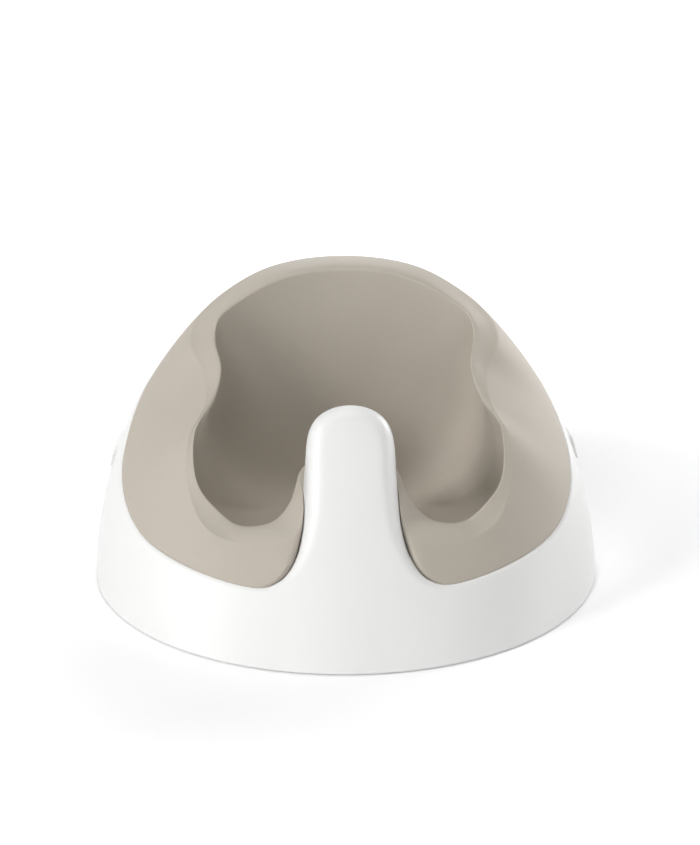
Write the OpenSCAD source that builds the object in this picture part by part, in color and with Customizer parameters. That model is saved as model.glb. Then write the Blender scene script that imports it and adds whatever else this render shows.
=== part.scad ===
/* [Shell] */
// Width of the shell at the floor
base_w = 421; // [405:1:435]
// Depth of the shell at the floor, front to back
base_d = 385; // [375:1:395]
// Height at which the side walls would close over as a dome
dome_h = 257; // [250:1:266]
// Height at which the back would close over as a dome
back_h = 271; // [265:1:279]
// Lean of the front wall and the pommel, in degrees from upright
front_lean = 32.5; // [31.5:0.5:33.5]
// Wall thickness of the shell
wall = 3; // [2.2:0.1:3.4]
// Radius of the rolled lip round the rim
lip_r = 4.2; // [4:0.1:5.5]
// Gap between the floor and the shell's lower edge
floor_gap = 1.5; // [1:0.1:2.4]
// Height of the rim at the back
rim_back_z = 176; // [168:1:182]
// Height of the rim in the leg openings
leg_rim_z = 49; // [46:0.5:53]
// Height of the bucket's floor
floor_z = 30; // [27:0.5:32]

/* [Pommel] */
// Height at which the pommel's top starts to round over
pommel_z = 165; // [158:1:170]
// Width of the pommel
pommel_w = 72; // [68:1:76]
// Radius of the pommel's rounded edges
pommel_r = 16; // [13:0.5:17]

/* [Seat insert] */
// Height of the crest at the back
crest_z = 238; // [233:1:240]
// Width of the opening between the side wings
wing_w = 203; // [195:1:208]
// Width of the opening at the hips
hip_w = 250; // [242:1:256]
// Height of the seat's lowest point
seat_z = 47; // [42:0.5:54]
// Clearance between the insert and the bucket's walls
insert_gap = 0.5; // [0.4:0.1:0.8]
// Clearance between the insert's slot and the pommel
slot_gap = 0.6; // [0.5:0.1:1]

/* [Base plate and feet] */
// Thickness of the base plate
plate_t = 2.5; // [2:0.1:3]
// Height of the base plate above the floor
plate_z = 3; // [2.6:0.1:4]
// Clearance round the base plate
plate_gap = 0.4; // [0.2:0.1:0.8]
// Height of the ribs on the base plate
rib_h = 8; // [5:0.5:12]
// Diameter of a foot
foot_d = 28; // [22:1:34]
// Distance between the left and right feet
foot_pitch_x = 250; // [220:1:260]
// Distance between the front and rear feet
foot_pitch_y = 190; // [170:1:200]
// Diameter of a screw's shank
screw_d = 4; // [3:0.1:4.5]
// Distance between the left and right screws
screw_pitch_x = 130; // [120:1:136]
// Distance between the front and rear screws
screw_pitch_y = 60; // [52:1:64]

/* [Tray sockets] */
// Width of a socket's mouth
socket_w = 38; // [34:1:42]
// Height of a socket's mouth
socket_h = 12; // [8:0.5:13]
// Height of the middle of the mouth above the floor
socket_z = 76; // [74:0.5:78]
// How far back the middle of the mouth lies
socket_y = 50; // [46:1:54]
// Depth of the socket
socket_depth = 15; // [12:0.5:16]
// Wall of the socket
socket_wall = 2; // [1.6:0.1:2.4]
// Height of the hood above the mouth
hood_h = 19; // [12:0.5:20]
// How far the hood stands out of the shell
hood_out = 1.7; // [1:0.1:2]

/* [Locating pegs] */
// Diameter of a peg
peg_d = 24; // [20:0.5:26]
// Distance between the pegs
peg_pitch = 76; // [70:1:84]
// Clearance between a peg and its hole
peg_gap = 0.05; // [0.02:0.01:0.1]

/* [Hidden] */
$fn = 48;
half_columns = 40;
q_end = 18;

function mix(a, b, t) = a + (b - a) * t;
function clamp01(t) = max(0, min(1, t));
function smooth(t) = let (c = clamp01(t)) c * c * (3 - 2 * c);
function unit(v) = v / norm(v);
function level(v) = unit([v[0], v[1], 0]);
function bezier(p, t) =
    let (u = 1 - t)
    u * u * u * p[0] + 3 * u * u * t * p[1] + 3 * u * t * t * p[2] + t * t * t * p[3];

// A smooth curve through the rows [station, value] of a table. Both ends run square to the middle
// plane, where the curve joins its mirror image.
function end_slope(d) = is_list(d) ? [for (i = [0:len(d) - 1]) i == 0 ? d[0] : 0] : 0;
function row_slope(t, i) =
    i == 0 ? end_slope((t[1][1] - t[0][1]) / (t[1][0] - t[0][0]))
    : i == len(t) - 1 ? end_slope((t[i][1] - t[i - 1][1]) / (t[i][0] - t[i - 1][0]))
    : (t[i + 1][1] - t[i - 1][1]) / (t[i + 1][0] - t[i - 1][0]);
function track(t, q) =
    let (
        i = [for (k = [0:len(t) - 2]) if (q <= t[k + 1][0] || k == len(t) - 2) k][0],
        h = t[i + 1][0] - t[i][0],
        u = (q - t[i][0]) / h,
        a = row_slope(t, i) * h,
        b = row_slope(t, i + 1) * h,
        c = t[i + 1][1] - t[i][1]
    )
    t[i][1] + u * a + u * u * (3 * c - 2 * a - b) + u * u * u * (a + b - 2 * c);

// Station q runs round the seat: 0 is the middle of the back, 8 the hip, 10 to 11 the leg opening
// and 18 the middle of the pommel. Past either end a point is mirrored to the other side.
function fold(q) = q < 0 ? -q : q > q_end ? 2 * q_end - q : q;
function sided(p, q) = q < 0 || q > q_end ? [-p[0], p[1], p[2]] : p;

// The dome that the outer wall follows, and that the insert carries on above it. Angle phi is 0 at
// the back and 180 at the front.
side_round = 1.87;
back_round = 2.5;
mid_lean = 0.3;
function half_w(z) = base_w / 2 * pow(1 - pow(max(z, 0) / dome_h, side_round), 1 / side_round);
function back_y(z) = base_d / 2 * pow(1 - pow(max(z, 0) / back_h, back_round), 1 / back_round);
function front_y(z) = -base_d / 2 + z * tan(front_lean);
function mid_y(z) = mid_lean * z;
function dome(phi, z) =
    let (m = mid_y(z), reach = phi < 90 ? back_y(z) - m : m - front_y(z))
    [half_w(z) * sin(phi), m + reach * cos(phi), z];
function phi_at(x, z) = 180 - asin(x / half_w(z));
function dome_normal(phi, z) =
    unit(cross(dome(phi, z + 0.5) - dome(phi, z - 0.5), dome(phi + 0.5, z) - dome(phi - 0.5, z)));

// The rim, where the outer wall ends and the lip starts to roll over, as [angle, height]
pommel_flat = pommel_w / 2 - pommel_r;
leg_x = 88;
function on_flank(radii, z) = [phi_at(pommel_flat + radii * pommel_r, z), z];
rim_table = [
    [0, [0, rim_back_z]], [2, [36, rim_back_z - 4]], [4, [68, 152]], [5, [84, 137]],
    [6, [94, 117]], [7, [101, 96]], [8, [112, 76]], [9, [127, 60]],
    [10, [phi_at(leg_x, leg_rim_z + 1), leg_rim_z + 1]],
    [11, on_flank(2.3, leg_rim_z + 4.5)], [12, on_flank(1, 0.43 * pommel_z)],
    [13, on_flank(0.3, 0.576 * pommel_z)], [14, on_flank(0.06, 0.74 * pommel_z)],
    [15, on_flank(0, 0.9 * pommel_z)], [16, on_flank(-0.19, pommel_z - 6)],
    [17, on_flank(-0.63, pommel_z - 1.5)], [18, [180, pommel_z]]
];
function rim_polar(q) = track(rim_table, q);
function rim(q) = let (r = rim_polar(fold(q))) sided(dome(r[0], r[1]), q);
function rim_along(q) = unit(rim(q + 0.1) - rim(q - 0.1));
function rim_normal(q) = let (r = rim_polar(q)) dome_normal(r[0], r[1]);
function rim_up(q) = unit(cross(rim_along(q), rim_normal(q)));

// The lip rolls inwards through its turn: a half circle round the bucket, and the rounded sides and
// top of the pommel
turn_table = [
    [0, 180], [9, 180], [10, 172], [11, 140], [12, 110], [13, 95], [14, 90], [15, 92],
    [16, 112], [17, 138], [18, 147]
];
roll_table = [
    [0, lip_r], [9, lip_r], [10, lip_r + 0.5], [11, lip_r + 3], [12, mix(lip_r, pommel_r, 0.6)],
    [13, mix(lip_r, pommel_r, 0.9)], [14, pommel_r], [18, pommel_r]
];
function lip(q, share, inset = 0) =
    let (r = track(roll_table, q), a = track(turn_table, q) * share, n = rim_normal(q))
    rim(q) - r * n + (r - inset) * (sin(a) * rim_up(q) + cos(a) * n);

// The outer wall, from the floor at v = 0 to the rim at v = 1
base_table = [
    [9, 0], [10, 0.34], [11, 0.55], [12, 0.71], [13, 0.82], [14, 0.89], [15, 0.935], [16, 0.96],
    [17, 0.982], [18, 1]
];
function base_phi(q) =
    let (from = rim_polar(9)[0])
    q <= 9 ? rim_polar(q)[0] : mix(from, 180, track(base_table, q));
function outer_polar(q, v) =
    let (r = rim_polar(q))
    [mix(base_phi(q), r[0], v), mix(floor_gap, r[1], v)];
function outer_wall(q, v, inset = 0) =
    let (p = outer_polar(q, v), d = dome(p[0], p[1]) - inset * dome_normal(p[0], p[1]))
    v == 0 ? [d[0], d[1], floor_gap] : d;

// The bucket's wall, from its floor at u = 0 to the end of the lip at u = 1
floor_table = [
    [0, [0, 82]], [2, [48, 74]], [4, [88, 52]], [6, [108, 12]], [8, [106, -40]], [9, [98, -72]],
    [10, [82, -98]], [11, [67, -108]], [12, [56, -110]], [13, [50, -102]], [14, [46, -84]],
    [15, [42, -64]], [16, [34, -48]], [17, [18, -43]], [18, [0, -42]]
];
bow_table = [[0, 1], [9, 1], [10, 0.8], [11, 0.4], [12, 0.1], [13, 0], [18, 0]];
function bucket_point(q, u) =
    let (
        top = lip(q, 1),
        f = track(floor_table, q),
        bow = clamp01(track(bow_table, q)),
        g = mix(u, sqrt(max(0, 2 * u - u * u)), bow)
    )
    [mix(f[0], top[0], g), mix(f[1], top[1], g), mix(floor_z, top[2], u)];
function bucket_at(q, u) = sided(bucket_point(fold(q), u), q);
function bucket_inward(q, u) =
    unit(cross(
        bucket_at(q + 0.1, u) - bucket_at(q - 0.1, u),
        bucket_at(q, min(1, u + 0.02)) - bucket_at(q, max(0, u - 0.02))
    ));
function bucket_wall(q, u, inward = 0) =
    let (p = bucket_at(q, u) + inward * bucket_inward(q, u))
    u == 0 ? [p[0], p[1], floor_z] : p;

// The middle of the bucket's floor
floor_mid = [0, 27];
floor_half_w = 62;
floor_half_d = 42;
floor_turn = [
    [0, 0], [6, 70], [9, 100], [10, 109], [11, 115], [12, 120], [13, 125], [14, 130], [15, 136],
    [16, 144], [17, 160], [18, 180]
];
function floor_oval(q) =
    let (
        m = track(floor_turn, q),
        r = 1 / pow(pow(abs(sin(m)) / floor_half_w, 2.5) + pow(abs(cos(m)) / floor_half_d, 2.5), 0.4)
    )
    [floor_mid[0] + r * sin(m), floor_mid[1] + r * cos(m), floor_z];
function floor_at(q, t, inward = 0) =
    let (mid = [floor_mid[0], floor_mid[1], floor_z])
    t <= 1 ? mix(mid, floor_oval(q), t) : mix(floor_oval(q), bucket_wall(q, 0, inward), t - 1);

// The insert. Its outer face carries the dome on from the lip to a crease, then rolls over to the
// edge of the opening, and the bowl falls away inside that edge.
wing_x = wing_w / 2;
hip_x = hip_w / 2;
edge_table = [
    [0, [0, 86, crest_z + 1]], [1, [35, 86, crest_z - 1]], [2, [67, 81, crest_z - 7]],
    [3, [wing_x - 8, 75, 213]], [4, [wing_x + 5, 62, 201]], [5, [wing_x + 6, 40, 187]],
    [6, [wing_x, 6, 173]], [7, [wing_x + 6, -22, 158]], [8, [hip_x - 2.5, -45, 139.5]],
    [9, [hip_x - 3.5, -72, 109.5]], [10, [103, -95, 85.5]], [11, [82, -98, 79.5]], [12, [65, -93, 83]],
    [13, [52.5, -78, 89]], [14, [45, -59, 93.5]], [15, [39, -37, 97]], [16, [30, -21, 100.5]],
    [17, [14, -16, 103]], [18, [0, -14, 104]]
];
function edge(q) = track(edge_table, q);

// The crease of the dome's face, as [angle, height, depth below the dome]
face_drop = 0.8;
crease_table = [
    [0, [0, crest_z, 0]], [1, [31, crest_z - 2, 0]], [2, [56, crest_z - 9, 0]], [3, [72, 211, 0]],
    [4, [85, 200, 1]], [5, [100, 191, 4]], [6, [115, 184, 15]], [7, [127, 167, 13]],
    [8, [130, 141, 5]], [9, [135, 112, 4]], [10, [144, 86, 1.5]], [11, [155.5, 80, 3]],
    [12, [161, 81, 4]], [18, [161, 81, 4]]
];
// The height at which the insert meets the pommel, and the radius of its edge there
slot_table = [
    [10, 52], [11, 56], [12, 71], [13, 88], [14, 94], [15, 97.5], [16, 99.5], [17, 101], [18, 102]
];
slot_r = 2.5;
function slotted(q) = smooth(q - 11);
function gap_at(q) = mix(insert_gap, slot_gap, slotted(q));
function top_u(q) =
    let (top = bucket_at(q, 1)[2])
    mix(1, min(1, (track(slot_table, max(q, 10)) - slot_r - floor_z) / (top - floor_z)), slotted(q));
function insert_wall(q, u) = bucket_wall(q, u * top_u(q), gap_at(q));

// Inside the lip the insert rises straight to a neck clear of the lip's top, then swells out over it
function lip_depth(q) = track(roll_table, q) * (1 - cos(track(turn_table, q))) + insert_gap;
function dome_point(q, t, depth) =
    let (r = rim_polar(q), c = track(crease_table, q), phi = mix(r[0], c[0], t), z = mix(r[1], c[1], t))
    dome(phi, z) - depth * dome_normal(phi, z);
function neck(q) =
    (track(roll_table, q) + insert_gap) / ((dome_point(q, 1, 0) - rim(q)) * rim_up(q));
function face_at(q, t) =
    let (n = neck(q), depth = track(crease_table, q)[2] * t + face_drop)
    dome_point(q, mix(n, 1, t), mix(depth, lip_depth(q), pow(1 - t, 16)));
function slot_crease(q) =
    let (e = insert_wall(q, 1), p = e + slot_r * level(edge(q) - e))
    [p[0], p[1], track(slot_table, q)];
function crease(q) = q <= 11 ? face_at(q, 1) : mix(face_at(min(q, 12), 1), slot_crease(q), slotted(q));
function slot_face(q, t) =
    let (e = insert_wall(q, 1), s = slot_crease(q), d = norm(s - e))
    bezier([e, e + [0, 0, 0.5 * d], s - level(s - e) * 0.5 * d, s], mix(0.15, 1, sqrt(t)));
function face(q, t) =
    q <= 11 ? face_at(q, t) : mix(face_at(min(q, 12), t), slot_face(q, t), slotted(q));

// The roll from the crease over to the bowl's edge
brow_table = [[0, 0], [3, 0], [5, 1], [6, 2.5], [10, 2.5], [11, 2], [12, 0], [18, 0]];
brow = 9;
function roll(q, t) =
    let (s = crease(q), r = edge(q), d = norm(r - s), over = s + level(r - s) * 0.45 * d)
    bezier([s, over + [0, 0, track(brow_table, q)], r + [0, 0, min(0.5 * d, brow)], r], t);
undercut_table = [
    [0, -0.09], [3, 0], [5, 0.12], [6, 0.24], [7, 0.34], [8, 0.38], [9, 0.34], [10, 0.22], [11, 0.1],
    [12, 0.05], [18, 0.05]
];
// The bowl falls from the edge to the flat of the seat, an oval
seat_mid = [0, 22, seat_z];
seat_half_w = 45;
seat_half_d = 26;
function seat_flat(q, t) =
    let (m = track(floor_turn, q))
    seat_mid + t * [seat_half_w * sin(m), seat_half_d * cos(m), 0];
function bowl(q, t) =
    let (
        r = edge(q),
        end = seat_flat(q, 1),
        out = level(r - end),
        h = r[2] - end[2],
        reach = norm([r[0] - end[0], r[1] - end[1]]),
        undercut = h * track(undercut_table, q)
    )
    bezier([r, r - [0, 0, 0.6 * h] + out * undercut, end + out * 0.6 * reach, end], t);

// A closed solid through rings of points, from the point before the first to the one after the last.
// Two skins that lie side by side but run opposite ways take opposite diagonals, so their facets match.
function mirrored(row) =
    concat(row, [for (j = [half_columns - 1:-1:1]) [-row[j][0], row[j][1], row[j][2]]]);
function ring(f) = mirrored([for (j = [0:half_columns]) f(q_end * j / half_columns)]);
module skin(first, rings, last, other_diagonal = false) {
    n = len(rings[0]);
    m = len(rings);
    end = 1 + m * n;
    points = concat([first], [for (r = rings) each r], [last]);
    function at(k, i) = 1 + k * n + i % n;
    faces = concat(
        [for (i = [0:n - 1]) [0, at(0, i + 1), at(0, i)]],
        [for (k = [0:m - 2]) for (i = [0:n - 1]) each other_diagonal
            ? [[at(k, i), at(k, i + 1), at(k + 1, i + 1)], [at(k, i), at(k + 1, i + 1), at(k + 1, i)]]
            : [[at(k, i), at(k, i + 1), at(k + 1, i)], [at(k, i + 1), at(k + 1, i + 1), at(k + 1, i)]]],
        [for (i = [0:n - 1]) [at(m - 1, i), at(m - 1, i + 1), end]]
    );
    polyhedron(points, faces, convexity = 10);
}

// Where the screws, feet and pegs stand
screw_spots = [for (x = [-1, 1]) for (y = [-1, 1])
    [x * screw_pitch_x / 2, floor_mid[1] + y * screw_pitch_y / 2]];
function foot_spot(x, y) = [x * foot_pitch_x / 2, y * foot_pitch_y / 2];
function peg_spot(x) = [x * peg_pitch / 2, floor_mid[1]];
boss_d = 3 * screw_d;
boss_z = plate_z + plate_t + rib_h;
peg_h = 14;
peg_tip = 2;
collar_h = 8;
flange_d = peg_d + 12;
flange_t = 3;
flange_gap = 0.2;
fit = 0.05;
screw_hole = screw_d + 0.6;
head_d = 2 * screw_d;
head_h = 2.4;
head_z = boss_z - 3;
stud_d = 10;
stud_gap = 0.3;

// The tray socket sits in a window in the shell's side, round a point on the dome
hood_z = socket_z + socket_h / 2;
window_low = socket_z - socket_h / 2 - socket_wall;
window_high = hood_z + hood_h;
window_r = 6;
window_gap = 0.3;
anchor_z = (window_low + window_high) / 2;
anchor_phi = acos((socket_y - mid_y(anchor_z)) / (back_y(anchor_z) - mid_y(anchor_z)));
anchor = dome(anchor_phi, anchor_z);
anchor_n = dome_normal(anchor_phi, anchor_z);
face_r = 136;
module at_face() {
    translate(anchor) rotate([0, 0, atan2(anchor_n[1], anchor_n[0])]) rotate([0, -asin(anchor_n[2]), 0])
        translate([-face_r, 0, 0]) children();
}
module face_cylinder(out) {
    at_face() cylinder(r = face_r + out, h = 3 * socket_w, center = true, $fn = 180);
}
module window(gap, from) {
    w = socket_w + 4 * socket_wall + 2 * gap;
    h = window_high - window_low;
    translate([from, socket_y, anchor_z]) rotate([90, 0, 90]) linear_extrude(anchor[0] + 30 - from) {
        square([w - 2 * window_r, h], center = true);
        square([w, h - 2 * window_r], center = true);
        for (x = [-1, 1]) for (y = [-1, 1])
            translate([x * (w / 2 - window_r), y * (h / 2 - window_r)]) circle(r = window_r);
    }
}
module side(x) { if (x < 0) mirror([1, 0, 0]) children(); else children(); }

module base_shell() {
    under = floor_z - wall;
    lower = [0, 0, -wall];
    rings = concat(
        [for (t = [0.5, 1]) ring(function (q) floor_at(q, t) + lower)],
        [ring(function (q) bucket_wall(q, 0, -wall) + lower)],
        [for (u = [0.03, 0.1, 0.25, 0.5, 0.75]) ring(function (q) bucket_wall(q, u, -wall))],
        [for (s = [1, 0.67, 0.33, 0]) ring(function (q) lip(q, s, wall))],
        [for (v = [0.8, 0.55, 0.25, 0]) ring(function (q) outer_wall(q, v, wall))],
        [for (v = [0, 0.25, 0.55, 0.8]) ring(function (q) outer_wall(q, v))],
        [for (s = [0, 0.17, 0.33, 0.5, 0.67, 0.83, 1]) ring(function (q) lip(q, s))],
        [for (u = [0.75, 0.5, 0.25, 0.1, 0.03, 0]) ring(function (q) bucket_wall(q, u))],
        [for (t = [1.5, 1, 0.5]) ring(function (q) floor_at(q, t))]
    );
    pilot_h = floor_z - wall - boss_z;
    color("white") difference() {
        union() {
            skin([0, floor_mid[1], under], rings, [0, floor_mid[1], floor_z]);
            for (p = screw_spots) translate([p[0], p[1], boss_z])
                cylinder(d = boss_d, h = under + 2 - boss_z);
            for (x = [-1, 1]) translate([peg_spot(x)[0], peg_spot(x)[1], under - collar_h])
                cylinder(d = peg_d + 2 * wall, h = collar_h + 2);
        }
        for (p = screw_spots) translate([p[0], p[1], boss_z - 1])
            cylinder(d = screw_d + 2 * fit, h = pilot_h);
        for (x = [-1, 1]) translate([peg_spot(x)[0], peg_spot(x)[1], under - collar_h - 1])
            cylinder(d = peg_d + 2 * peg_gap, h = collar_h + wall + 2);
        for (x = [-1, 1]) side(x) window(window_gap, anchor[0] - socket_depth - 1);
    }
}

module seat_insert() {
    rings = concat(
        [for (t = [0.5, 1, 1.5]) ring(function (q) floor_at(q, t, gap_at(q)))],
        [for (u = [0, 0.1, 0.25, 0.5, 0.75, 1]) ring(function (q) insert_wall(q, u))],
        [for (t = [0, 0.03, 0.08, 0.2, 0.4, 0.6, 0.8]) ring(function (q) face(q, t))],
        [for (t = [0, 0.25, 0.5, 0.75]) ring(function (q) roll(q, t))],
        [for (t = [0, 0.08, 0.18, 0.3, 0.42, 0.55, 0.68, 0.8, 0.9]) ring(function (q) bowl(q, t))],
        [for (t = [1, 0.5]) ring(function (q) seat_flat(q, t))]
    );
    color("tan") difference() {
        skin([0, floor_mid[1], floor_z], rings, seat_mid, other_diagonal = true);
        for (x = [-1, 1]) translate([peg_spot(x)[0], peg_spot(x)[1], floor_z - 1])
            cylinder(d = flange_d + 2 * flange_gap, h = flange_t + 1);
    }
}

module insert_peg(x) {
    color("dimgray") translate([peg_spot(x)[0], peg_spot(x)[1], floor_z]) {
        cylinder(d = flange_d, h = flange_t);
        translate([0, 0, peg_tip - peg_h]) cylinder(d = peg_d, h = peg_h - peg_tip + 1);
        translate([0, 0, -peg_h]) cylinder(d1 = peg_d - 2 * peg_tip, d2 = peg_d, h = peg_tip);
    }
}

// The plate's outline follows the inside of the shell at the height of the plate's upper face
module base_plate() {
    top_z = plate_z + plate_t;
    rib_t = 2;
    inset = wall + plate_gap;
    outline = ring(function (q)
        let (p = outer_wall(q, (top_z - floor_gap) / (rim_polar(q)[1] - floor_gap), inset)) [p[0], p[1], 0]);
    color("gainsboro") difference() {
        union() {
            translate([0, 0, plate_z]) linear_extrude(plate_t) polygon([for (p = outline) [p[0], p[1]]]);
            for (p = screw_spots) translate([p[0], p[1], plate_z]) cylinder(d = boss_d, h = boss_z - plate_z);
            for (y = [-1, 1]) translate([-foot_pitch_x / 2, y * foot_pitch_y / 2 - rib_t / 2, plate_z])
                cube([foot_pitch_x, rib_t, plate_t + rib_h]);
            for (x = [-1, 1]) translate([x * foot_pitch_x / 2 - rib_t / 2, -foot_pitch_y / 2, plate_z])
                cube([rib_t, foot_pitch_y, plate_t + rib_h]);
            for (x = [-1, 1]) translate([x * screw_pitch_x / 2 - rib_t / 2, -foot_pitch_y / 2, plate_z])
                cube([rib_t, foot_pitch_y, plate_t + rib_h]);
            for (y = [-1, 1])
                translate([-foot_pitch_x / 2, floor_mid[1] + y * screw_pitch_y / 2 - rib_t / 2, plate_z])
                cube([foot_pitch_x, rib_t, plate_t + rib_h]);
        }
        for (p = screw_spots) translate([p[0], p[1], plate_z - 1]) {
            cylinder(d = head_d + 1, h = head_z - plate_z + 1);
            cylinder(d = screw_hole, h = boss_z - plate_z + 2);
        }
        for (x = [-1, 1]) for (y = [-1, 1]) translate([foot_spot(x, y)[0], foot_spot(x, y)[1], plate_z - 1]) {
            cylinder(d = stud_d + 2 * stud_gap, h = plate_t + 2);
            translate([0, 0, plate_t + 1]) cylinder(d = 2 * stud_d, h = rib_h + 1);
        }
    }
}

module plate_screws() {
    tip = 2;
    top = floor_z - wall - 3;
    recess = [0.25 * head_d, head_d - 2.4];
    color("silver") for (p = screw_spots) translate([p[0], p[1], 0]) difference() {
        union() {
            translate([0, 0, head_z - head_h]) cylinder(d = head_d, h = head_h);
            translate([0, 0, head_z - 1]) cylinder(d = screw_d, h = top - tip - head_z + 1);
            translate([0, 0, top - tip]) cylinder(d1 = screw_d, d2 = 1, h = tip);
        }
        for (a = [0, 90]) rotate(a) translate([-recess[1] / 2, -recess[0] / 4, head_z - head_h - 1])
            cube([recess[1], recess[0] / 2, 2.2]);
    }
}

module foot(x, y) {
    r = foot_d / 2;
    edge_r = 1;
    hollow = 0.6;
    color("dimgray") translate([foot_spot(x, y)[0], foot_spot(x, y)[1], 0]) {
        difference() {
            union() {
                cylinder(r = r - edge_r, h = plate_z);
                translate([0, 0, edge_r]) cylinder(r = r, h = plate_z - edge_r);
                translate([0, 0, edge_r]) rotate_extrude() translate([r - edge_r, 0]) circle(r = edge_r);
            }
            translate([0, 0, -1]) cylinder(r = r - 4 * edge_r, h = hollow + 1);
        }
        translate([0, 0, plate_z - 1]) cylinder(d = stud_d, h = plate_t + 2);
        translate([0, 0, plate_z + plate_t]) cylinder(d1 = stud_d + 4, d2 = stud_d, h = 4);
    }
}

module tray_socket(x) {
    back_x = anchor[0] - socket_depth;
    mouth_low = socket_z - socket_h / 2;
    sleeve_w = socket_w + 2 * socket_wall;
    plate = wall + 1.5;
    far = 100;
    color("gainsboro") side(x) difference() {
        union() {
            intersection() {
                difference() {
                    window(0, back_x);
                    face_cylinder(-plate);
                }
                union() {
                    face_cylinder(0);
                    intersection() {
                        face_cylinder(hood_out);
                        translate([anchor[0] - far / 2, socket_y - far / 2, hood_z]) cube(far);
                    }
                }
            }
            intersection() {
                translate([back_x, socket_y - sleeve_w / 2, window_low])
                    cube([socket_depth + far, sleeve_w, socket_h + 2 * socket_wall]);
                face_cylinder(0);
            }
        }
        translate([back_x + socket_wall, socket_y - socket_w / 2, mouth_low]) cube([far, socket_w, socket_h]);
    }
}

base_shell();
base_plate();
plate_screws();
foot(-1, -1);  // foot_front_left
foot(1, -1);  // foot_front_right
foot(-1, 1);  // foot_rear_left
foot(1, 1);  // foot_rear_right
tray_socket(-1);  // tray_socket_left
tray_socket(1);  // tray_socket_right
seat_insert();
insert_peg(-1);  // insert_peg_left
insert_peg(1);  // insert_peg_right
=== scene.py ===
import math

import bpy
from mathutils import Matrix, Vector


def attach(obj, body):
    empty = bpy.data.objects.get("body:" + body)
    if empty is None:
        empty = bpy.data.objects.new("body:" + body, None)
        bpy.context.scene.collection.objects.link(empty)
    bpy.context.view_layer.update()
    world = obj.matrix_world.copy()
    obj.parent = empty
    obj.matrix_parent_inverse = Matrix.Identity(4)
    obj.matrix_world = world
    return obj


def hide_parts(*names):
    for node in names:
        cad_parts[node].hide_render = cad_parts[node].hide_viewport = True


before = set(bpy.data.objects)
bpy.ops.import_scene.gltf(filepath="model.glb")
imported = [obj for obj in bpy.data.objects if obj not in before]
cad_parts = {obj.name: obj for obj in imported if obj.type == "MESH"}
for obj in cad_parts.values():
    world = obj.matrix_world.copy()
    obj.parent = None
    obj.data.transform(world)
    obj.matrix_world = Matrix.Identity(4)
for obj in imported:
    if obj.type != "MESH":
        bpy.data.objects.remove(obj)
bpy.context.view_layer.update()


# Camera: a little to the left of the middle, looking down at the seat from standing height across
# a room, with the long lens that gives the photograph's flat perspective.
sight_rise = math.radians(26.4)
sight_turn = math.radians(-2.2)
sight_length = 1.6
focal_pixels = 1875
frame_pixels = (700, 845)
floor_middle_pixel = (346, 563)

look_down = sight_rise - math.atan((floor_middle_pixel[1] - frame_pixels[1] / 2) / focal_pixels)
look_aside = math.atan((floor_middle_pixel[0] - frame_pixels[0] / 2) / focal_pixels)
camera_data = bpy.data.cameras.new("camera")
camera_data.sensor_width = 36
camera_data.lens = focal_pixels * camera_data.sensor_width / max(frame_pixels)
camera_data.clip_start = 0.05
camera = bpy.data.objects.new("camera", camera_data)
camera.location = sight_length * Vector((
    math.sin(sight_turn) * math.cos(sight_rise),
    -math.cos(sight_turn) * math.cos(sight_rise),
    math.sin(sight_rise),
))
camera.rotation_euler = (math.pi / 2 - look_down, 0, sight_turn + look_aside)
bpy.context.collection.objects.link(camera)
bpy.context.scene.camera = camera


# Floor and light: a white sweep that the seat stands on, and eight soft boxes round it, of which
# the strongest shine from the front left, from straight above and from behind on the right. The
# floor is white to the camera, more so with distance, but keeps the soft shadow close to the seat.
def plain_material(name):
    material = bpy.data.materials.new(name)
    material.use_nodes = True
    tree = material.node_tree
    return material, tree.nodes, tree.links, tree.nodes["Principled BSDF"]


def seen_directly(nodes, links):
    path = nodes.new("ShaderNodeLightPath")
    total = nodes.new("ShaderNodeMath")
    total.operation = "ADD"
    total.use_clamp = True
    links.new(path.outputs["Is Camera Ray"], total.inputs[0])
    links.new(path.outputs["Is Glossy Ray"], total.inputs[1])
    return total.outputs[0]


bpy.ops.object.select_all(action="DESELECT")
bpy.ops.mesh.primitive_plane_add(size=12, location=(0, 2, 0))
floor = bpy.context.active_object
floor.name = "floor"
bpy.ops.object.transform_apply(location=True)
floor_paint, nodes, links, body = plain_material("floor_paint")
body.inputs["Base Color"].default_value = (0.86, 0.86, 0.865, 1)
body.inputs["Roughness"].default_value = 0.9
body.inputs["Specular IOR Level"].default_value = 0.1
place = nodes.new("ShaderNodeTexCoord")
distance = nodes.new("ShaderNodeVectorMath")
distance.operation = "LENGTH"
links.new(place.outputs["Object"], distance.inputs[0])
paler = nodes.new("ShaderNodeMapRange")
paler.inputs["From Min"].default_value = 0.26
paler.inputs["From Max"].default_value = 1.5
paler.inputs["To Min"].default_value = 0.16
paler.inputs["To Max"].default_value = 1
links.new(distance.outputs["Value"], paler.inputs["Value"])
dim = nodes.new("ShaderNodeMath")
dim.operation = "MULTIPLY"
links.new(seen_directly(nodes, links), dim.inputs[0])
links.new(paler.outputs["Result"], dim.inputs[1])
lift = nodes.new("ShaderNodeEmission")
lift.inputs["Color"].default_value = (1, 1, 1, 1)
links.new(dim.outputs[0], lift.inputs["Strength"])
both = nodes.new("ShaderNodeAddShader")
links.new(body.outputs["BSDF"], both.inputs[0])
links.new(lift.outputs[0], both.inputs[1])
links.new(both.outputs[0], nodes["Material Output"].inputs["Surface"])
floor.data.materials.append(floor_paint)

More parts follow.
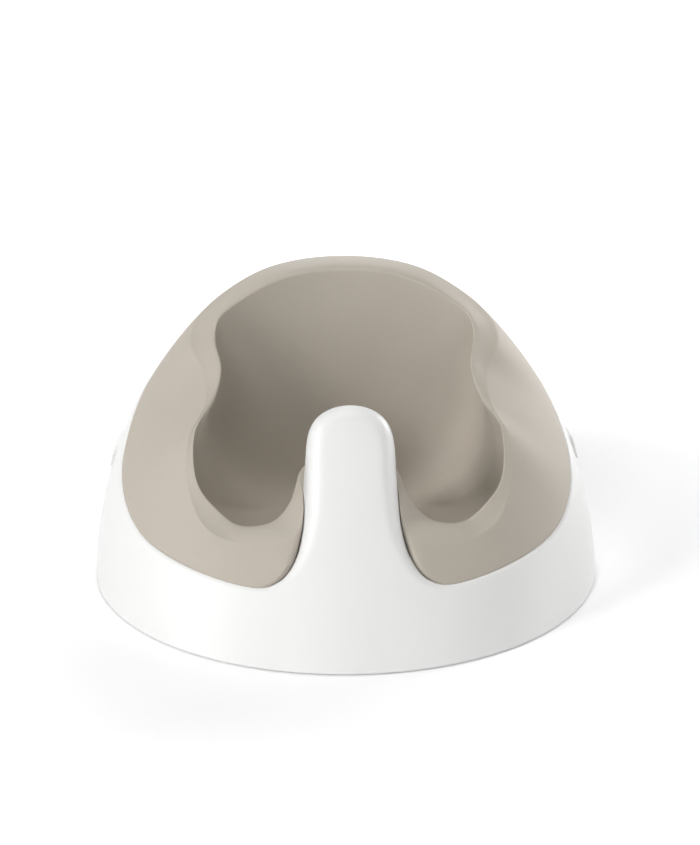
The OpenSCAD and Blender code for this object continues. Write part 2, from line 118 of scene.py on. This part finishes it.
world = bpy.data.worlds.new("room")
world.use_nodes = True
bpy.context.scene.world = world
room = world.node_tree
even = room.nodes["Background"]
even.inputs["Color"].default_value = (1, 1, 1, 1)
even.inputs["Strength"].default_value = 0.06
backdrop = room.nodes.new("ShaderNodeBackground")
backdrop.inputs["Color"].default_value = (1, 1, 1, 1)
backdrop.inputs["Strength"].default_value = 1
choice = room.nodes.new("ShaderNodeMixShader")
room.links.new(seen_directly(room.nodes, room.links), choice.inputs[0])
room.links.new(even.outputs[0], choice.inputs[1])
room.links.new(backdrop.outputs[0], choice.inputs[2])
room.links.new(choice.outputs[0], room.nodes["World Output"].inputs["Surface"])


def soft_light(name, size, place, aim, power):
    """A round soft box: its width in metres, its place, the point it faces, its power in watts."""
    lamp_data = bpy.data.lights.new(name, "AREA")
    lamp_data.shape = "DISK"
    lamp_data.size = size
    lamp_data.energy = power
    lamp = bpy.data.objects.new(name, lamp_data)
    lamp.location = place
    lamp.visible_camera = False
    lamp.rotation_euler = (Vector(aim) - Vector(place)).to_track_quat("-Z", "Y").to_euler()
    bpy.context.collection.objects.link(lamp)


aim = (0, 0, 0.1)
soft_light("key_light", 0.9, (-2.2, -0.9, 1.5), aim, 31)
soft_light("front_light", 1.0, (-0.8, -2.3, 1.4), aim, 14)
soft_light("top_light", 1.2, (0, 0.3, 2.8), aim, 25)
soft_light("left_fill", 1.2, (-2.4, -1.2, 0.6), aim, 15)
soft_light("front_right_fill", 1.4, (1.2, -2.2, 1.0), aim, 12)
soft_light("right_back_fill", 1.0, (2.0, 1.6, 0.8), aim, 34)
soft_light("back_fill", 1.0, (0, 2.5, 1.3), aim, 12)
soft_light("right_fill", 1.2, (2.6, -0.3, 0.3), aim, 13)

bpy.context.scene.view_settings.view_transform = "Standard"


# Base shell: one white injection moulding in satin polypropylene. Its outer wall follows a dome
# from an oval on the floor, rolls over at the lip, and falls away inside as the bucket for the
# insert; at the front it rises as the pommel. Sizes in millimetres, as on the drawing.
shell_w, shell_d, dome_h, back_h = 421, 385, 257, 271
shell_wall, lip_r, floor_gap = 3, 4.2, 1.5
mm_per_m = 1000
rim_back_z, leg_rim_z, bucket_floor_z = 176, 49, 30
pommel_z, pommel_w, pommel_r = 165, 72, 16
front_lean = math.radians(32.5)
side_round, back_round, mid_lean = 1.87, 2.5, 0.3

# Stations are counted round each half of the seat, from 0 at the middle of the back to 18 at the
# middle of the front. From the widest one on, the wall's foot runs ahead of the rim.
last_station, widest_station = 18, 9
station_step = 0.1


def mix(a, b, t):
    return a + (b - a) * t


def clamp(t):
    return max(0.0, min(1.0, t))


def smooth(t):
    t = clamp(t)
    return t * t * (3 - 2 * t)


def track(rows, q):
    """A smooth curve through rows of (station, value), square to the middle plane at both ends."""
    i = next((k for k in range(len(rows) - 1) if q <= rows[k + 1][0]), len(rows) - 2)

    def slope(k):
        if k in (0, len(rows) - 1):
            a, b = (rows[0], rows[1]) if k == 0 else (rows[-2], rows[-1])
            step = (b[1] - a[1]) / (b[0] - a[0])
            return Vector([step[0]] + [0] * (len(step) - 1)) if isinstance(step, Vector) else 0.0
        return (rows[k + 1][1] - rows[k - 1][1]) / (rows[k + 1][0] - rows[k - 1][0])

    h = rows[i + 1][0] - rows[i][0]
    u = (q - rows[i][0]) / h
    a, b, c = slope(i) * h, slope(i + 1) * h, rows[i + 1][1] - rows[i][1]
    return rows[i][1] + a * u + (c * 3 - a * 2 - b) * u * u + (a + b - c * 2) * u * u * u


def stations(*pairs):
    return [(q, Vector(value) if isinstance(value, tuple) else value) for q, value in pairs]


def half_w(z):
    return shell_w / 2 * (1 - (max(z, 0) / dome_h) ** side_round) ** (1 / side_round)


def dome(phi, z):
    back = shell_d / 2 * (1 - (max(z, 0) / back_h) ** back_round) ** (1 / back_round)
    front = -shell_d / 2 + z * math.tan(front_lean)
    middle = mid_lean * z
    reach = back - middle if phi < 90 else middle - front
    turn = math.radians(phi)
    return Vector((half_w(z) * math.sin(turn), middle + reach * math.cos(turn), z))


def dome_normal(phi, z, step=0.5):
    up = dome(phi, z + step) - dome(phi, z - step)
    return up.cross(dome(phi + step, z) - dome(phi - step, z)).normalized()


def phi_at(x, z):
    return 180 - math.degrees(math.asin(x / half_w(z)))


def on_side(make, q, *rest):
    """The point of station q; past either end of the half it is the other side's, mirrored."""
    p = make(-q if q < 0 else 2 * last_station - q if q > last_station else q, *rest)
    return Vector((-p[0], p[1], p[2])) if q < 0 or q > last_station else p


pommel_flat = pommel_w / 2 - pommel_r


def on_flank(radii, z):
    return phi_at(pommel_flat + radii * pommel_r, z), z


rim_rows = stations(
    (0, (0, rim_back_z)), (2, (36, rim_back_z - 4)), (4, (68, 152)), (5, (84, 137)),
    (6, (94, 117)), (7, (101, 96)), (8, (112, 76)), (9, (127, 60)),
    (10, (phi_at(88, leg_rim_z + 1), leg_rim_z + 1)),
    (11, on_flank(2.3, leg_rim_z + 4.5)), (12, on_flank(1, 0.43 * pommel_z)),
    (13, on_flank(0.3, 0.576 * pommel_z)), (14, on_flank(0.06, 0.74 * pommel_z)),
    (15, on_flank(0, 0.9 * pommel_z)), (16, on_flank(-0.19, pommel_z - 6)),
    (17, on_flank(-0.63, pommel_z - 1.5)), (18, (180, pommel_z)),
)
turn_rows = stations(
    (0, 180), (9, 180), (10, 172), (11, 140), (12, 110), (13, 95), (14, 90), (15, 92), (16, 112),
    (17, 138), (18, 147),
)
roll_rows = stations(
    (0, lip_r), (9, lip_r), (10, lip_r + 0.5), (11, lip_r + 3), (12, mix(lip_r, pommel_r, 0.6)),
    (13, mix(lip_r, pommel_r, 0.9)), (14, pommel_r), (18, pommel_r),
)
base_rows = stations(
    (9, 0), (10, 0.34), (11, 0.55), (12, 0.71), (13, 0.82), (14, 0.89), (15, 0.935), (16, 0.96),
    (17, 0.982), (18, 1),
)
bucket_rows = stations(
    (0, (0, 82)), (2, (48, 74)), (4, (88, 52)), (6, (108, 12)), (8, (106, -40)), (9, (98, -72)),
    (10, (82, -98)), (11, (67, -108)), (12, (56, -110)), (13, (50, -102)), (14, (46, -84)),
    (15, (42, -64)), (16, (34, -48)), (17, (18, -43)), (18, (0, -42)),
)
bow_rows = stations((0, 1), (9, 1), (10, 0.8), (11, 0.4), (12, 0.1), (13, 0), (18, 0))


def rim_polar(q):
    return track(rim_rows, q)


def rim_half(q):
    return dome(*rim_polar(q))


def along_side(make, q, *rest):
    """The direction in which a curve of the skin runs on past station q."""
    return on_side(make, q + station_step, *rest) - on_side(make, q - station_step, *rest)


def lip_axis(q):
    return rim_half(q) - dome_normal(*rim_polar(q)) * track(roll_rows, q)


def on_lip(q, degrees, distance):
    """A point round the lip's axis, turned inwards from the outer wall by so many degrees."""
    normal = dome_normal(*rim_polar(q))
    up = along_side(rim_half, q).normalized().cross(normal).normalized()
    a = math.radians(degrees)
    return lip_axis(q) + (up * math.sin(a) + normal * math.cos(a)) * distance


def lip(q, share, inset=0):
    return on_lip(q, track(turn_rows, q) * share, track(roll_rows, q) - inset)


def outer_wall(q, v, inset=0):
    """The wall from its foot, at 0, up to the rim, at 1, or as far inside it as inset."""
    r = rim_polar(q)
    start = rim_polar(widest_station)[0]
    foot_phi = r[0] if q <= widest_station else mix(start, 180, track(base_rows, q))
    phi, z = mix(foot_phi, r[0], v), mix(floor_gap, r[1], v)
    p = dome(phi, z) - dome_normal(phi, z) * inset
    return Vector((p[0], p[1], floor_gap)) if v == 0 else p


def bucket_half(q, u):
    top = lip(q, 1)
    foot = track(bucket_rows, q)
    g = mix(u, math.sqrt(max(0, 2 * u - u * u)), clamp(track(bow_rows, q)))
    z = mix(bucket_floor_z, top[2], u)
    return Vector((mix(foot[0], top[0], g), mix(foot[1], top[1], g), z))


def bucket_wall(q, u, inward=0, step=0.02):
    """The bucket's wall from its floor, at 0, up to the lip, at 1, or as far inside as inward."""
    p = bucket_half(q, u)
    if inward:
        upward = bucket_half(q, min(1, u + step)) - bucket_half(q, max(0, u - step))
        p = p + along_side(bucket_half, q, u).cross(upward).normalized() * inward
    return Vector((p[0], p[1], bucket_floor_z)) if u == 0 else p


floor_middle, floor_half_w, floor_half_d = Vector((0, 27, bucket_floor_z)), 62, 42
floor_round = 2.5
floor_turn_rows = stations(
    (-6, -70), (0, 0), (6, 70), (9, 100), (10, 109), (11, 115), (12, 120), (13, 125), (14, 130),
    (15, 136), (16, 144), (17, 160), (18, 180), (19, 200),
)


def bucket_floor(q, t, inward=0):
    """The bucket's floor from its middle, at 0, past its oval, at 1, to the wall's foot, at 2."""
    turn = math.radians(track(floor_turn_rows, q))
    s, c = math.sin(turn), math.cos(turn)
    across, deep = (abs(s) / floor_half_w) ** floor_round, (abs(c) / floor_half_d) ** floor_round
    r = 1 / (across + deep) ** (1 / floor_round)
    oval = floor_middle + Vector((r * s, r * c, 0))
    return mix(floor_middle, oval, t) if t <= 1 else mix(oval, bucket_wall(q, 0, inward), t - 1)


def steps(first, last, count):
    return [mix(first, last, k / count) for k in range(count + 1)]


def moulded(name, ring_makers, half_columns=140, weld=0.000002):
    """A closed skin laid through rings round the seat, on a grid whose seam and ends are welded."""
    columns = 2 * half_columns
    last_ring = len(ring_makers) - 1
    bpy.ops.object.select_all(action="DESELECT")
    bpy.ops.mesh.primitive_grid_add(x_subdivisions=columns, y_subdivisions=last_ring, size=2)
    piece = bpy.context.active_object
    piece.name = name
    halves = [
        [make(last_station * column / half_columns) for column in range(half_columns + 1)]
        for make in ring_makers
    ]
    for vertex in piece.data.vertices:
        column = round((vertex.co.x + 1) / 2 * columns) % columns
        ring = round((vertex.co.y + 1) / 2 * last_ring)
        p = halves[ring][column if column <= half_columns else columns - column]
        side = 1 if column <= half_columns else -1
        vertex.co = (side * p[0] / mm_per_m, p[1] / mm_per_m, p[2] / mm_per_m)
    bpy.ops.object.mode_set(mode="EDIT")
    bpy.ops.mesh.select_all(action="SELECT")
    bpy.ops.mesh.remove_doubles(threshold=weld)
    bpy.ops.mesh.normals_make_consistent(inside=False)
    bpy.ops.object.mode_set(mode="OBJECT")
    return piece


def cut_away(piece, cutter):
    """Takes the cutter's shape out of the piece, and removes the cutter."""
    bpy.ops.object.select_all(action="DESELECT")
    piece.select_set(True)
    bpy.context.view_layer.objects.active = piece
    cut = piece.modifiers.new("cut", "BOOLEAN")
    cut.operation = "DIFFERENCE"
    cut.solver = "EXACT"
    cut.object = cutter
    bpy.ops.object.modifier_apply(modifier=cut.name)
    bpy.data.objects.remove(cutter, do_unlink=True)


def smooth_faces(piece, degrees):
    bpy.ops.object.select_all(action="DESELECT")
    piece.select_set(True)
    bpy.context.view_layer.objects.active = piece
    bpy.ops.object.shade_smooth_by_angle(angle=math.radians(degrees))


under = Vector((0, 0, -shell_wall))
shell_rings = (
    [lambda q: floor_middle + under]
    + [lambda q, t=t: bucket_floor(q, t) + under for t in (0.5, 1)]
    + [lambda q: bucket_wall(q, 0, -shell_wall) + under]
    + [lambda q, u=u: bucket_wall(q, u, -shell_wall) for u in [0.03] + steps(0.08, 0.92, 12)]
    + [lambda q, s=s: lip(q, s, shell_wall) for s in steps(1, 0, 8)]
    + [lambda q, v=v: outer_wall(q, v, shell_wall) for v in steps(0.95, 0, 16)]
    + [lambda q, v=v: outer_wall(q, v) for v in steps(0, 0.96, 32)]
    + [lambda q, s=s: lip(q, s) for s in steps(0, 1, 16)]
    + [lambda q, u=u: bucket_wall(q, u) for u in steps(0.94, 0.06, 18) + [0.03, 0.01, 0]]
    + [lambda q, t=t: bucket_floor(q, t) for t in (1.5, 1, 0.5)]
    + [lambda q: floor_middle]
)
shell = moulded("shell", shell_rings)

# A tray socket's window goes through each side, and a peg's hole through the bucket's floor.
window_w, window_low, window_high, window_r = 46.6, 68, 101, 6
window_x, window_y, window_deep = 205, 50, 60
peg_d, peg_pitch, peg_clearance = 24, 76, 0.05
hole_middle_z, hole_deep = 28.5, 20
for side in (-1, 1):
    bpy.ops.object.select_all(action="DESELECT")
    middle = (
        side * window_x / mm_per_m, window_y / mm_per_m, (window_low + window_high) / 2 / mm_per_m,
    )
    bpy.ops.mesh.primitive_cube_add(size=1, location=middle)
    cutter = bpy.context.active_object
    cutter.scale = (
        window_deep / mm_per_m, window_w / mm_per_m, (window_high - window_low) / mm_per_m,
    )
    bpy.ops.object.transform_apply(location=True, rotation=True, scale=True)
    bpy.ops.object.mode_set(mode="EDIT")
    bpy.ops.mesh.select_all(action="DESELECT")
    bpy.ops.object.mode_set(mode="OBJECT")
    for edge in cutter.data.edges:
        ends = [cutter.data.vertices[v].co for v in edge.vertices]
        edge.select = abs(ends[0][0] - ends[1][0]) > window_deep / 2 / mm_per_m
    bpy.ops.object.mode_set(mode="EDIT")
    bpy.ops.mesh.bevel(offset=window_r / mm_per_m, segments=8)
    bpy.ops.object.mode_set(mode="OBJECT")
    cut_away(shell, cutter)
    bpy.ops.object.select_all(action="DESELECT")
    bpy.ops.mesh.primitive_cylinder_add(
        vertices=96, radius=(peg_d / 2 + peg_clearance) / mm_per_m, depth=hole_deep / mm_per_m,
        location=(
            side * peg_pitch / 2 / mm_per_m, floor_middle[1] / mm_per_m, hole_middle_z / mm_per_m,
        ),
    )
    cut_away(shell, bpy.context.active_object)
smooth_faces(shell, degrees=35)


def grain(nodes, links, body, scale, strength, depth, glossiest, dullest):
    """A fine moulded texture: noise on the piece's own coordinates, as a bump and in the gloss."""
    place = nodes.new("ShaderNodeTexCoord")
    noise = nodes.new("ShaderNodeTexNoise")
    noise.inputs["Scale"].default_value = scale
    noise.inputs["Detail"].default_value = 4
    noise.inputs["Roughness"].default_value = 0.6
    links.new(place.outputs["Object"], noise.inputs["Vector"])
    bump = nodes.new("ShaderNodeBump")
    bump.inputs["Strength"].default_value = strength
    bump.inputs["Distance"].default_value = depth
    links.new(noise.outputs["Fac"], bump.inputs["Height"])
    links.new(bump.outputs["Normal"], body.inputs["Normal"])
    gloss = nodes.new("ShaderNodeMapRange")
    gloss.inputs["From Min"].default_value = 0.3
    gloss.inputs["From Max"].default_value = 0.7
    gloss.inputs["To Min"].default_value = glossiest
    gloss.inputs["To Max"].default_value = dullest
    links.new(noise.outputs["Fac"], gloss.inputs["Value"])
    links.new(gloss.outputs["Result"], body.inputs["Roughness"])
    return place


def tinted(nodes, links, body, place, scale, pale, deep):
    """A slow drift between two shades of one colour, as moulded plastic has."""
    drift = nodes.new("ShaderNodeTexNoise")
    drift.inputs["Scale"].default_value = scale
    drift.inputs["Detail"].default_value = 2
    links.new(place.outputs["Object"], drift.inputs["Vector"])
    shade = nodes.new("ShaderNodeMix")
    shade.data_type = "RGBA"
    shade.inputs["A"].default_value = (*pale, 1)
    shade.inputs["B"].default_value = (*deep, 1)
    links.new(drift.outputs["Fac"], shade.inputs["Factor"])
    links.new(shade.outputs["Result"], body.inputs["Base Color"])


white_plastic, nodes, links, body = plain_material("white_plastic")
place = grain(
    nodes, links, body, scale=1400, strength=0.12, depth=0.0004, glossiest=0.38, dullest=0.46,
)
tinted(
    nodes, links, body, place, scale=9, pale=(0.785, 0.785, 0.775), deep=(0.76, 0.76, 0.75),
)
body.inputs["IOR"].default_value = 1.49
shell.data.materials.append(white_plastic)
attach(shell, "base")
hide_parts("base_shell")


# Seat insert: one soft moulding of self-skinned foam. Its outer face laps over the shell's lip and
# carries the dome on to a crease, rolls over round the back, the wings and the leg openings, and
# falls away into the bowl. It lifts straight out.
crest_z, wing_w, hip_w, seat_z = 238, 203, 250, 47
insert_gap, slot_gap, slot_r, face_drop = 0.35, 0.4, 1.4, 0.8
wing_x, hip_x = wing_w / 2, hip_w / 2
leg_station, slot_station, roll_turns_at, slot_opens_at = 11, 12, 10.1, 11.4
corner_share, lap_fade = 0.15, 40
edge_rows = stations(
    (0, (0, 79, crest_z - 4)), (1, (34, 76, crest_z - 5.5)), (2, (64, 69, crest_z - 13)),
    (3, (wing_x - 12, 59, 213)), (4, (wing_x + 2.5, 47, 203)), (5, (wing_x + 5, 30, 190)),
    (6, (wing_x, 0, 176)), (7, (wing_x + 6, -22, 158)), (8, (hip_x - 2.5, -45, 139.5)),
    (9, (hip_x - 4.5, -74, 109)), (10, (101, -94.5, 89.5)), (11, (81.5, -100, 78.5)),
    (12, (64, -100, 81)), (13, (49.5, -90, 93.5)), (14, (44, -69.5, 97.5)), (15, (39.5, -43, 100)),
    (16, (30, -24, 102)), (17, (14, -18, 104)), (18, (0, -16, 105)),
)
crease_rows = stations(
    (0, (0, crest_z, 0)), (1, (31, crest_z - 2, 0)), (2, (56, crest_z - 9, 0)), (3, (72, 211, 0)),
    (4, (85, 200, 1)), (5, (100, 191, 4)), (6, (115, 184, 15)), (7, (127, 167, 13)),
    (8, (130, 141, 5)), (9, (135, 112, 4)), (10, (144, 86, 1.5)), (11, (155.5, 80.5, 2.5)),
    (12, (163, 92, 2.5)), (18, (163, 92, 2.5)),
)
slot_rows = stations(
    (10, 52), (11, 60), (12, 84), (13, 98), (14, 105.5), (15, 106.5), (16, 105.5), (17, 104.5),
    (18, 104),
)
brow_rows = stations(
    (0, 3.5), (3, 2), (5, 1), (6, 1.5), (8, 0.5), (10, 1), (11, 1.5), (12, 0), (18, 0),
)
turn_over_rows = stations(
    (0, 6), (4, 6), (6, 7), (7, 9.5), (8, 11.5), (9, 12), (11, 11), (18, 9),
)
lap_rows = stations((0, 58), (9, 58), (10, 58), (11, 62), (11.6, 80), (12, 110), (18, 110))
undercut_rows = stations(
    (0, -0.09), (3, 0), (5, 0.2), (6, 0.36), (7, 0.44), (8, 0.34), (9, 0.14), (10, 0.02),
    (11, 0.02), (12, 0.05), (18, 0.05),
)
seat_middle, seat_half_w, seat_half_d = Vector((0, 22, seat_z)), 45, 26
rise = Vector((0, 0, 1))


def level(v):
    return Vector((v[0], v[1], 0)).normalized()


def bezier(p0, p1, p2, p3, t):
    u = 1 - t
    return p0 * u ** 3 + p1 * 3 * u * u * t + p2 * 3 * u * t * t + p3 * t ** 3


def slotted(q):
    """How far station q has left the leg opening, at 0, for the slot beside the pommel, at 1."""
    return smooth(q - slot_opens_at)


def side_gap(q):
    return mix(insert_gap, slot_gap, slotted(q))


def insert_wall(q, u):
    top = bucket_wall(q, 1)[2]
    slot_top = track(slot_rows, max(q, slot_rows[0][0])) - slot_r
    share = min(1, (slot_top - bucket_floor_z) / (top - bucket_floor_z))
    return bucket_wall(q, u * mix(1, share, slotted(q)), side_gap(q))


def dome_point(q, t, depth):
    r, c = rim_polar(q), track(crease_rows, q)
    phi, z = mix(r[0], c[0], t), mix(r[1], c[1], t)
    return dome(phi, z) - dome_normal(phi, z) * depth


def over_lip(q, s):
    """The foam's lap over the shell's lip, from the bucket's side at 0 to its outer edge at 1."""
    degrees = mix(track(turn_rows, q), track(lap_rows, q), s)
    return on_lip(q, degrees, track(roll_rows, q) + insert_gap)


def clear_of_lip(q, p):
    """Moves a point of the foam out of the lip, where the leg opening turns into the slot."""
    along = along_side(rim_half, q).normalized()
    out = p - lip_axis(q)
    out -= along * out.dot(along)
    return p + out.normalized() * max(0, track(roll_rows, q) + insert_gap - out.length)


def face_at(q, t):
    """The outer face, from the lap's edge at 0, where it leaves the lip, up to the crease at 1."""
    edge = over_lip(q, 1) - rim_half(q)
    normal = dome_normal(*rim_polar(q))
    path = (dome_point(q, 1, 0) - rim_half(q)).length
    lapped = math.sqrt(max(0, edge.length_squared - edge.dot(normal) ** 2)) / path
    depth = track(crease_rows, q)[2] * t + face_drop
    return dome_point(q, mix(lapped, 1, t), mix(depth, -edge.dot(normal), (1 - t) ** lap_fade))


def slot_crease(q):
    e = insert_wall(q, 1)
    p = e + level(track(edge_rows, q) - e) * slot_r
    return Vector((p[0], p[1], track(slot_rows, q)))


def crease(q):
    if q <= leg_station:
        return face_at(q, 1)
    return mix(face_at(min(q, slot_station), 1), slot_crease(q), slotted(q))


def slot_corner(q, t):
    start, end = insert_wall(q, 1), slot_crease(q)
    d = (end - start).length
    return bezier(start, start + rise * 0.5 * d, end - level(end - start) * 0.5 * d, end, t)


def lap(q, s):
    if q <= leg_station:
        return over_lip(q, s)
    p = mix(over_lip(min(q, slot_station), s), slot_corner(q, corner_share * s), slotted(q))
    return clear_of_lip(q, p)


def face(q, t):
    if q <= leg_station:
        return face_at(q, t)
    corner = slot_corner(q, mix(corner_share, 1, math.sqrt(t)))
    return clear_of_lip(q, mix(face_at(min(q, slot_station), t), corner, slotted(q)))


def roll(q, t):
    """The turn from the outer face, at the crease, over to the edge of the bowl."""
    start, end = crease(q), track(edge_rows, q)
    d = (end - start).length
    onward = (face(q, 1) - face(q, 0.96)).normalized()
    first = mix(level(end - start), onward, smooth(q - roll_turns_at)).normalized()
    over = start + first * 0.55 * d + rise * track(brow_rows, q)
    return bezier(start, over, end + rise * min(0.45 * d, track(turn_over_rows, q)), end, t)


def seat_flat(q, t):
    turn = math.radians(track(floor_turn_rows, q))
    oval = Vector((seat_half_w * math.sin(turn), seat_half_d * math.cos(turn), 0))
    return seat_middle + oval * t


def bowl(q, t):
    """The inside, from its edge down to the seat; at the hips it widens below the edge."""
    top, end = track(edge_rows, q), seat_flat(q, 1)
    out = level(top - end)
    drop = top[2] - end[2]
    reach = math.hypot(top[0] - end[0], top[1] - end[1])
    wall = top - rise * 0.6 * drop + out * drop * track(undercut_rows, q)
    return bezier(top, wall, end + out * 0.6 * reach, end, t)


insert_rings = (
    [lambda q: floor_middle]
    + [lambda q, t=t: bucket_floor(q, t, side_gap(q)) for t in (0.5, 1, 1.5)]
    + [lambda q, u=u: insert_wall(q, u) for u in steps(0, 1, 17)]
    + [lambda q, s=s: lap(q, s) for s in steps(0.15, 0.85, 5)]
    + [lambda q, t=t: face(q, t) for t in steps(0, 0.04, 6) + steps(0.055, 0.17, 5)]
    + [lambda q, t=t: face(q, t) for t in steps(0.21, 0.98, 20)]
    + [lambda q, t=t: roll(q, t) for t in steps(0, 1, 18)]
    + [lambda q, t=t: bowl(q, t) for t in steps(0.02, 1, 40)]
    + [lambda q, t=t: seat_flat(q, t) for t in (0.8, 0.6, 0.4, 0.2)]
    + [lambda q: seat_middle]
)
insert = moulded("insert", insert_rings)

# Each front corner, from the leg opening into the slot, is eased over a patch that grows outwards.
patch_inner_x, patch_front_y, patch_back_y, patch_low_z, patch_slope = 36, -136, -78, 64, 0.35
for patch_outer_x in (80, 84, 88, 92):
    bpy.ops.object.mode_set(mode="EDIT")
    bpy.ops.mesh.select_all(action="DESELECT")
    bpy.ops.object.mode_set(mode="OBJECT")
    for vertex in insert.data.vertices:
        x, y, z = abs(vertex.co.x) * mm_per_m, vertex.co.y * mm_per_m, vertex.co.z * mm_per_m
        vertex.select = (
            patch_inner_x < x < patch_outer_x and patch_front_y < y < patch_back_y
            and z > patch_low_z + patch_slope * (x - patch_inner_x)
        )
    bpy.ops.object.mode_set(mode="EDIT")
    bpy.ops.mesh.vertices_smooth(factor=0.5, repeat=9)
    bpy.ops.object.mode_set(mode="OBJECT")
smooth_faces(insert, degrees=60)

taupe_foam, nodes, links, body = plain_material("taupe_foam")
place = grain(
    nodes, links, body, scale=900, strength=0.4, depth=0.0006, glossiest=0.54, dullest=0.7,
)
tinted(
    nodes, links, body, place, scale=7, pale=(0.443, 0.40, 0.34), deep=(0.416, 0.375, 0.318),
)
body.inputs["Sheen Weight"].default_value = 0.08
body.inputs["Sheen Roughness"].default_value = 0.6
insert.data.materials.append(taupe_foam)
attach(insert, "insert")
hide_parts("seat_insert")


# Tray sockets: the two liners that a play tray's tongues push into, each under a low hood. They
# are moulded in the shell's own white polypropylene, and clip into the windows in its sides.
def coat(material, *names):
    """Gives pieces that come from the drawing as they are their material."""
    for name in names:
        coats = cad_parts[name].data.materials
        coats.clear()
        coats.append(material)


coat(white_plastic, "tray_socket_left", "tray_socket_right")


# Base plate: the ribbed plate that closes the shell underneath. It is moulded in grey
# polypropylene, with a slightly duller grain than the shell, and screwed up to bosses inside it.
plate_plastic, nodes, links, body = plain_material("plate_plastic")
place = grain(
    nodes, links, body, scale=900, strength=0.2, depth=0.0004, glossiest=0.44, dullest=0.56,
)
tinted(
    nodes, links, body, place, scale=6, pale=(0.66, 0.66, 0.65), deep=(0.61, 0.61, 0.60),
)
coat(plate_plastic, "base_plate")


# Screws: four self-tapping screws of zinc-plated steel, with a cross recess in the head. They sit
# sunk in the plate's counterbores and hold it to the shell.
zinc, nodes, links, body = plain_material("zinc")
place = grain(
    nodes, links, body, scale=2200, strength=0.1, depth=0.0001, glossiest=0.26, dullest=0.4,
)
tinted(
    nodes, links, body, place, scale=200, pale=(0.62, 0.62, 0.64), deep=(0.5, 0.5, 0.53),
)
body.inputs["Metallic"].default_value = 1
coat(zinc, "plate_screws")


# Feet: four pads of soft black rubber that keep the seat from sliding. Each has a stud on top,
# which is pushed into a hole of the plate.
foot_rubber, nodes, links, body = plain_material("foot_rubber")
place = grain(
    nodes, links, body, scale=1500, strength=0.3, depth=0.0003, glossiest=0.72, dullest=0.88,
)
tinted(
    nodes, links, body, place, scale=60, pale=(0.035, 0.035, 0.035), deep=(0.022, 0.022, 0.022),
)
coat(foot_rubber, "foot_front_left", "foot_front_right", "foot_rear_left", "foot_rear_right")


# Locating pegs: two pegs of hard taupe plastic, held by the foam that is moulded round their upper
# ends. They drop into the holes in the bucket's floor, so that the insert can't shift.
peg_plastic, nodes, links, body = plain_material("peg_plastic")
place = grain(
    nodes, links, body, scale=1200, strength=0.15, depth=0.0003, glossiest=0.4, dullest=0.52,
)
tinted(
    nodes, links, body, place, scale=40, pale=(0.30, 0.27, 0.23), deep=(0.26, 0.235, 0.2),
)
coat(peg_plastic, "insert_peg_left", "insert_peg_right")
